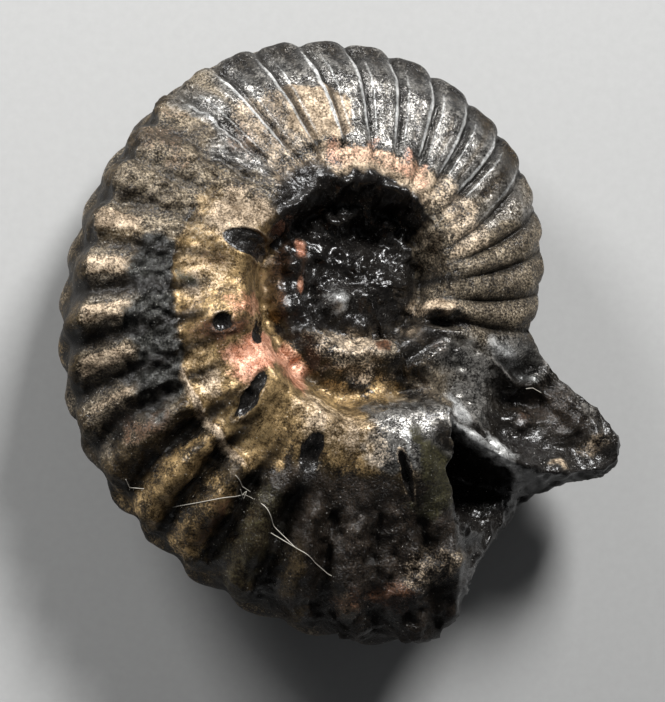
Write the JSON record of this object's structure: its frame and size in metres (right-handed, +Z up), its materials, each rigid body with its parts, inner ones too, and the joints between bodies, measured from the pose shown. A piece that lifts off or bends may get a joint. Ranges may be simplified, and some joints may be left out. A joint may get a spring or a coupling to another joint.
{
  "type": "fossil ammonite",
  "caption": "Hoplites ammonite fossil: a thick, strongly ribbed flat spiral of dark stone with a deep hollow centre and a broken outer end, lying on its side.",
  "frame": {"origin": "centre of the footprint, on the surface the fossil lies on", "axes": "+Z up, out of the preserved side; +Y towards the top of the picture, along the longest extent"},
  "size_m": [0.0434, 0.0445, 0.0194],
  "materials": {
    "stone": "half polished, near-black with a bronze cast"
  },
  "bodies": {
    "root": {"ammonite": "stone"}
  },
  "joints": []
}
